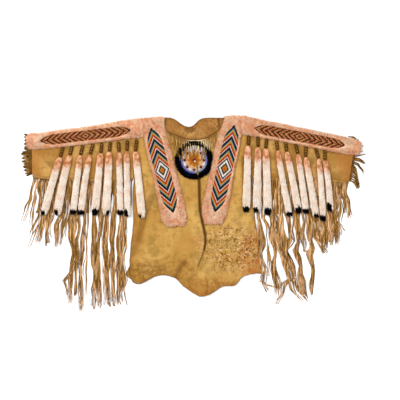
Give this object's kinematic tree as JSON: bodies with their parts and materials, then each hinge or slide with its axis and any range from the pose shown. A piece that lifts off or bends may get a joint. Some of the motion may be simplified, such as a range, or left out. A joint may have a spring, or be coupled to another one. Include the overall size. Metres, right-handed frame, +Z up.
{
  "type": "beaded hide shirt",
  "caption": "Hide shirt lying flat, front up, with beaded chest and sleeve bands on dyed fur, a beaded rosette, white fur tails and long cut fringe.",
  "frame": {"origin": "on the surface the shirt lies on, under the back panel, near the middle of the body", "axes": "+X towards the wearer's left sleeve, which is the viewer's right; +Y towards the neck; +Z up, out of the front of the shirt"},
  "size_m": [1.6185, 0.9217, 0.0214],
  "materials": {
    "hide": "matte suede",
    "cut_fringe": "matte suede",
    "dyed_fur": "short dyed fur",
    "dark_fur": "short fur",
    "white_fur": "soft fur",
    "beadwork": "rows of small glossy beads",
    "wrapping": "wound sinew and quill"
  },
  "bodies": {
    "root": {"back_panel": "hide", "front_panel": "hide", "sleeve_left": "hide", "sleeve_right": "hide", "neck_flap": "hide", "neck_fringe": "cut_fringe", "rosette_rim": "dark_fur", "rosette_beads": "beadwork", "chest_fur_left": "dyed_fur", "chest_beads_left": "beadwork", "chest_fur_right": "dyed_fur", "chest_beads_right": "beadwork", "sleeve_fur_left": "dyed_fur", "sleeve_beads_left": "beadwork", "sleeve_fur_right": "dyed_fur", "sleeve_beads_right": "beadwork", "sleeve_fringe_left": "cut_fringe", "sleeve_fringe_right": "cut_fringe", "cuff_fringe_left": "cut_fringe", "cuff_fringe_right": "cut_fringe", "wrap_left_1": "wrapping", "wrap_left_2": "wrapping", "wrap_left_3": "wrapping", "wrap_left_4": "wrapping", "wrap_left_5": "wrapping", "wrap_left_6": "wrapping", "wrap_left_7": "wrapping", "wrap_left_8": "wrapping", "wrap_left_9": "wrapping", "wrap_right_1": "wrapping", "wrap_right_2": "wrapping", "wrap_right_3": "wrapping", "wrap_right_4": "wrapping", "wrap_right_5": "wrapping", "wrap_right_6": "wrapping", "wrap_right_7": "wrapping", "wrap_right_8": "wrapping", "wrap_right_9": "wrapping", "tail_left_1": "white_fur", "tail_left_2": "white_fur", "tail_left_3": "white_fur", "tail_left_4": "white_fur", "tail_left_5": "white_fur", "tail_left_6": "white_fur", "tail_left_7": "white_fur", "tail_left_8": "white_fur", "tail_left_9": "white_fur", "tail_right_1": "white_fur", "tail_right_2": "white_fur", "tail_right_3": "white_fur", "tail_right_4": "white_fur", "tail_right_5": "white_fur", "tail_right_6": "white_fur", "tail_right_7": "white_fur", "tail_right_8": "white_fur", "tail_right_9": "white_fur"}
  },
  "joints": []
}
